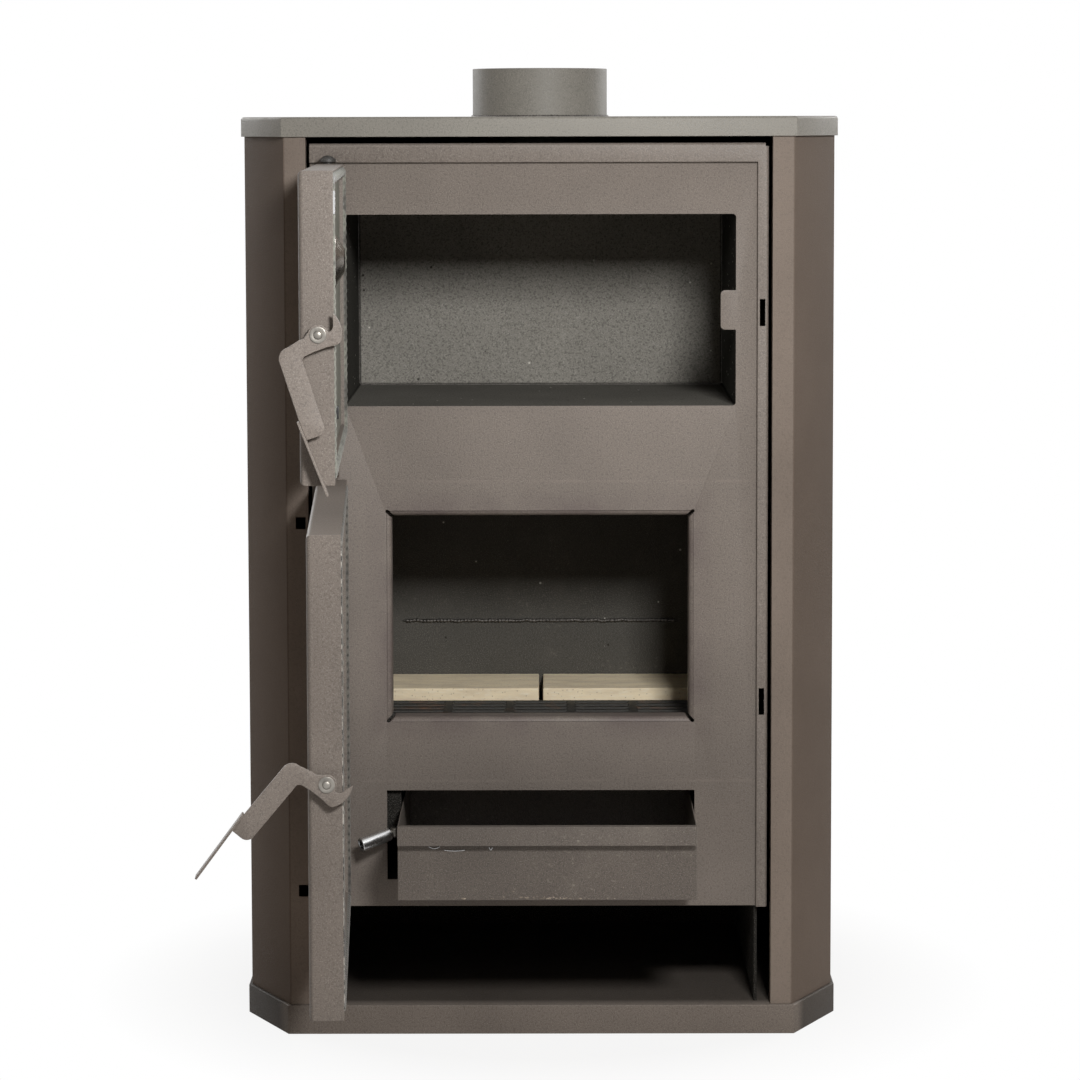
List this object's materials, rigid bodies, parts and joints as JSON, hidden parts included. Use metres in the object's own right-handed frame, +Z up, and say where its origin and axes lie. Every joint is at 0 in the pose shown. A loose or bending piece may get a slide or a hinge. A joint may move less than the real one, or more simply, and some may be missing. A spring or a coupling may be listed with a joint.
{
  "type": "wood-fired boiler stove",
  "caption": "Free-standing steel boiler stove with hinged oven door and fire door, latch levers, pull-out ash drawer, turning grate gear, wood store, top flue collar and rear water sockets.",
  "frame": {"origin": "centre of the underside, on the floor", "axes": "+Z up; +Y from the front to the rear; +X to the right as seen from the front"},
  "size_m": [0.552, 0.8283, 0.889],
  "materials": {
    "casing": "satin",
    "inner_steel": "matt",
    "door_steel": "satin",
    "lever_steel": "satin",
    "pipe_steel": "rough",
    "iron": "rough",
    "fire_brick": "matt",
    "hinge_steel": "satin",
    "bolt_steel": "satin",
    "rope": "woven",
    "bright_metal": "polished",
    "dial_face": "matt",
    "dial_pointer": "satin",
    "clear_glass": "clear"
  },
  "bodies": {
    "stove": {"plinth": "casing", "left_side_panel": "casing", "right_side_panel": "casing", "rear_panel": "casing", "top_plate": "casing", "flue_collar": "casing", "flue_throat": "inner_steel", "front_plate": "casing", "inner_shell": "inner_steel", "shell_top": "inner_steel", "ash_floor": "inner_steel", "firebox_floor": "inner_steel", "water_jacket": "inner_steel", "flow_socket": "pipe_steel", "return_socket": "pipe_steel", "oven_box": "inner_steel", "flue_baffle": "iron", "left_brick": "fire_brick", "right_brick": "fire_brick", "left_runner": "inner_steel", "right_runner": "inner_steel", "rod_bearing": "inner_steel", "upper_top_lug": "hinge_steel", "upper_bottom_lug": "hinge_steel", "lower_top_lug": "hinge_steel", "lower_bottom_lug": "hinge_steel", "upper_top_pin": "bolt_steel", "upper_bottom_pin": "bolt_steel", "lower_top_pin": "bolt_steel", "lower_bottom_pin": "bolt_steel", "panel_screws": "bolt_steel"},
    "upper_door": {"upper_door_pan": "door_steel", "upper_rope_channel": "door_steel", "upper_rope": "rope", "upper_lining": "door_steel", "thermometer_case": "bright_metal", "thermometer_dial": "dial_face", "thermometer_pointer": "dial_pointer", "thermometer_glass": "clear_glass", "thermometer_back": "bright_metal", "upper_pivot_bolt": "bolt_steel", "upper_pivot_bush": "bolt_steel"},
    "upper_handle": {"upper_latch_lever": "lever_steel", "upper_latch_grip": "lever_steel"},
    "lower_door": {"lower_door_pan": "door_steel", "lower_rope_channel": "door_steel", "lower_rope": "rope", "lower_lining": "door_steel", "lower_pivot_bolt": "bolt_steel", "lower_pivot_bush": "bolt_steel"},
    "lower_handle": {"lower_latch_lever": "lever_steel", "lower_latch_grip": "lever_steel"},
    "ash_drawer": {"ash_drawer": "door_steel"},
    "riddling_gear": {"riddling_shaft": "inner_steel", "riddling_sleeve": "bright_metal"},
    "grate": {"grate": "iron", "grate_fork": "iron"}
  },
  "joints": [
    {"name": "upper_door_hinge", "type": "hinge", "parent": "stove", "child": "upper_door", "pos_m": [-0.1905, -0.205, 0.553], "axis": [0, 0, -1], "range_deg": [-87.7, 20]},
    {"name": "upper_handle_pivot", "type": "hinge", "parent": "upper_door", "child": "upper_handle", "pos_m": [-0.17203, -0.59757, 0.6726], "axis": [0.0401, -0.9992, 0], "range_deg": [-58, 0]},
    {"name": "lower_door_hinge", "type": "hinge", "parent": "stove", "child": "lower_door", "pos_m": [-0.1905, -0.205, 0.123], "axis": [0, 0, -1], "range_deg": [-87.1, 20]},
    {"name": "lower_handle_pivot", "type": "hinge", "parent": "lower_door", "child": "lower_handle", "pos_m": [-0.16792, -0.59736, 0.31564], "axis": [0.0506, -0.9987, 0], "range_deg": [0, 58]},
    {"name": "drawer_slide", "type": "slide", "parent": "stove", "child": "ash_drawer", "axis": [0, -1, 0], "range_m": [-0.0781, 0.01811]},
    {"name": "riddling_turn", "type": "hinge", "parent": "stove", "child": "riddling_gear", "pos_m": [-0.1347, -0.188, 0.187], "axis": [0, 1, 0], "range_deg": [-6, 6]},
    {"name": "grate_slide", "type": "slide", "parent": "stove", "child": "grate", "axis": [1, 0, 0], "range_m": [-0.0072, 0.0072]}
  ],
  "couplings": [
    {"joint": "drawer_slide", "follows": "lower_door_hinge", "m_per_rad": 0.05131},
    {"joint": "riddling_turn", "follows": "grate_slide", "rad_per_m": 14.493}
  ]
}
